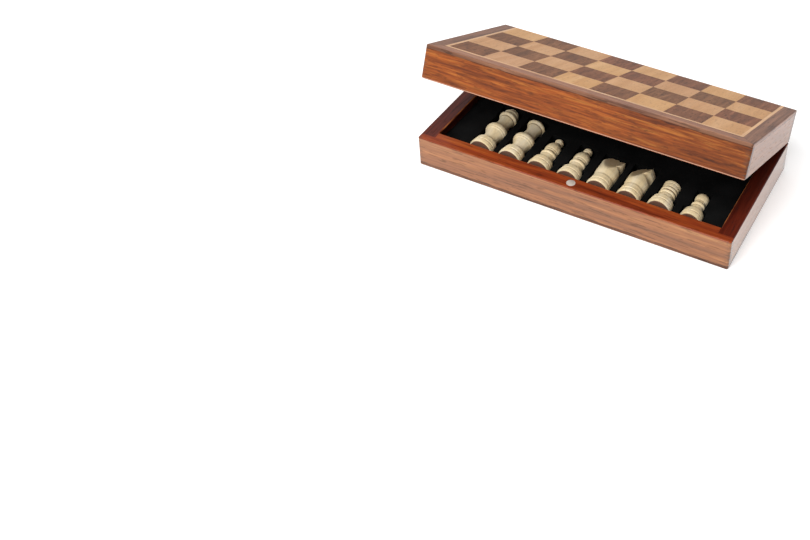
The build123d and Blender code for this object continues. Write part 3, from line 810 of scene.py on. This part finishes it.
bishop_base, bishop_waist, bishop_collar = 8.3, (4.7, 11.8), (6.0, 15.6)
bishop_egg, bishop_ball = (5.7, 21.0), (3.2, 31.8)
bishop_runs = foot(bishop_base, bishop_waist[0]) + hollow_and_bead(bishop_waist, *bishop_collar)
bishop_runs += [(bishop_egg[0] - ring_round, bishop_collar[1] + 2 * ring_half_height)]
bishop_runs += [(bishop_ball[0] * throat_ratio, bishop_ball[1] - bishop_ball[0], *bishop_egg)]
bishop_mesh = turned("bishop", bishop_runs + ball_top(*bishop_ball), scored=(19.4, 31.0))
lay_down(bishop_mesh, "bishop", bishop_base, [(2, False, 0), (3, False, 110)], "bishop_{}")


# ---- Queens ----------------------------------------------------------
# The queen has two hollow-turned stages, each ended by a rounded ring. A low cap over her crown
# carries a dome.

bulb_half_height, bulb_round, drum_flare = 3.0, 1.4, 0.4


def crowned(base, waist, collar, neck, crown, drum, ball):
    """The turned stages of the queen and the king, from waist to dome, each a radius and a height."""
    runs = foot(base, waist[0]) + hollow_and_bead(waist, *collar, bulb_half_height, bulb_round)
    runs += hollow_and_bead(neck, *crown) + [(drum[0] - drum_flare, crown[1] + ring_half_height), drum]
    return runs + zone(*ball, drum[1], sum(ball))


queen_base = 8.5
queen_runs = crowned(queen_base, waist=(5.3, 12.3), collar=(7.9, 21.4), neck=(4.8, 29.0), crown=(6.8, 39.2),
                     drum=(5.0, 40.9), ball=(4.3, 41.2))
queen_mesh = turned("queen", queen_runs, scored=(19.6, 37.2))
lay_down(queen_mesh, "queen", queen_base, [(1, False, 40)], "queen")


# ---- Kings -----------------------------------------------------------
# The king is turned like the queen and a little taller. His crown carries a flared drum under a
# dome, which is scored with fine rings.

king_base = 8.6
king_runs = crowned(king_base, waist=(5.4, 12.5), collar=(8.0, 22.0), neck=(4.9, 29.5), crown=(6.8, 38.4),
                    drum=(5.7, 43.2), ball=(4.9, 43.4))
king_mesh = turned("king", king_runs, scored=(20.2, 36.4, 41.6, 45.0, 46.8))
lay_down(king_mesh, "king", king_base, [(0, False, 0)], "king")


# ---- Knights ---------------------------------------------------------
# A knight is turned first, then sawn: the profile is cut round, two cheeks are cut flat, the mane
# is nicked from behind and the ears are parted with a V. All the cut edges are sanded over.

knight_base, knight_waist, knight_body, knight_top = 8.4, 6.8, (8.1, 14.0), 31.4
cheek_from, cheek_top_half, head_room, saw_reach = 15.0, 2.8, 3.6, 12.0
chest = [(8.6, 14.5), (8.1, 17.0), (6.8, 19.4), (3.4, 21.6)]
face = [(6.2, 23.2), (7.4, 24.6), (7.6, 27.4), (6.9, 30.4), (2.9, 29.6)]
ears = [(1.8, 31.4), (-0.2, 30.8), (-1.4, 31.4)]
crest = [(-3.6, 30.6), (-5.8, 28.0), (-7.2, 23.4), (-7.9, 18.0), (-8.6, 14.0)]
ear_gap, ear_depth, parting_from, parting_to = 1.5, 2.2, -5.0, 2.4
mane_notches, notch_depth, notch_width, mane_from, mane_to = 4, 0.5, 0.8, 15.0, 25.0
sanding_grid, light_sanding, heavy_sanding = 0.3 * MM, 4, 40
# How deep a hollow takes full painted shade, in mm, how much painted shade the sawn cheeks take, and how
# flat a cheek is.
shaded_hollow_depth, cheek_painted_shade, flat_enough = 0.35, 0.58, 0.8
across = Matrix.Rotation(pi / 2, 4, "X")
lengthwise = Matrix.Rotation(pi / 2, 4, "Z") @ across


def saw_cut(name, outline, turn, low=-saw_reach, high=saw_reach):
    """A straight cut through the blank on an outline."""
    made = cutter(name, outline, low, high)
    made.matrix_world = turn
    return made


def side_cut(outline):
    """What stays of a blank after sawing round an outline, which hangs over everything below it."""
    low = [(-saw_reach, -head_room), (saw_reach, -head_room), (saw_reach, outline[0][1])]
    return low + outline + [(-saw_reach, outline[-1][1])]


def sanded(mesh, name):
    """The mesh with its cut edges worn round, and painted shade wherever it is hollow, which is where
    heavy sanding would fill it. The sawn cheeks get some painted shade too."""
    worn = []
    for count in (light_sanding, heavy_sanding):
        piece = bpy.data.objects.new(name, mesh)
        scene.collection.objects.link(piece)
        skin = piece.modifiers.new("skin", "REMESH")
        skin.mode, skin.voxel_size = "VOXEL", sanding_grid
        piece.modifiers.new("rub", "SMOOTH").iterations = count
        worn.append(finished_mesh(piece))
    made, filled = worn
    painted_shade = made.attributes.new("painted_shade", "FLOAT", "POINT")
    for vert, over in zip(made.vertices, filled.vertices):
        hollow = max(0.0, (over.co - vert.co).dot(vert.normal) / (shaded_hollow_depth * MM))
        # sawn is the painted shade on both flat cheeks above the body.
        sawn = 0.0
        if abs(vert.normal.y) > flat_enough and vert.co.z > cheek_from * MM:
            sawn = cheek_painted_shade * min(1.0, max(0.0, knight_body[0] - vert.co.xy.length / MM))
        painted_shade.data[vert.index].value = min(1.0, max(hollow, sawn))
    made.shade_smooth()
    made.name = name
    return made


blank_runs = foot(knight_base, knight_waist) + [knight_body, (knight_body[0], knight_top), (0, knight_top)]
cheeks = side_cut([(knight_body[0], cheek_from), (cheek_top_half, knight_top),
                   (-cheek_top_half, knight_top), (-knight_body[0], cheek_from)])
profile = side_cut(chest + face + ears + crest)
keeps = [saw_cut("profile", profile, across), saw_cut("cheeks", cheeks, lengthwise)]
ear_parting = [(-ear_gap, knight_top + 1), (ear_gap, knight_top + 1), (0, knight_top - ear_depth)]
wastes = [saw_cut("ear_parting", ear_parting, lengthwise, parting_from, parting_to)]
for i in range(mane_notches):
    z = mane_from + i * (mane_to - mane_from) / (mane_notches - 1)
    nick = [(-saw_reach, z - 2 * notch_width), (notch_depth - knight_body[0], z - notch_width / 2),
            (-saw_reach, z + 2 * notch_width)]
    wastes.append(saw_cut("nick_%d" % i, nick, across))
knight_mesh = sanded(cut(turned("knight_blank", blank_runs), wastes, "knight", keeps), "knight")
lay_down(knight_mesh, "knight", knight_base, [(4, False, 0), (5, False, -24)], "knight_{}")


# ---- Felts -----------------------------------------------------------
# A disc of brown wool felt is glued under each foot. It is matt and cloudy, with a faint sheen;
# its fibres are far finer than a hair and are drawn 0.5 mm wide so that they show at all.

fibre_width = 0.5
for half, side in sides_of_play.items():
    felt, tree = new_material("brown_felt_" + half)
    tangle = add(tree, "TexNoise", {"Vector": own_millimetres(tree, half), "Scale": 1 / fibre_width,
                                    "Detail": 4.0, "Roughness": 0.7, "Distortion": 1.2})
    tone = add(tree, "ValToRGB", {0: tangle}, [(0.3, "#4c2f20"), (0.55, "#6d4734"), (0.75, "#86604a")])
    bump = add(tree, "Bump", {"Height": tangle, "Strength": 0.6, "Distance": 0.2 * MM})
    shader = add(tree, "BsdfPrincipled", {"Base Color": tone, "Roughness": 0.95, "Normal": bump,
                                          "IOR": 1.4, "Specular IOR Level": 0.1, "Sheen Weight": 0.35})
    dress(felt, shader, side["nodes"] + "felts")
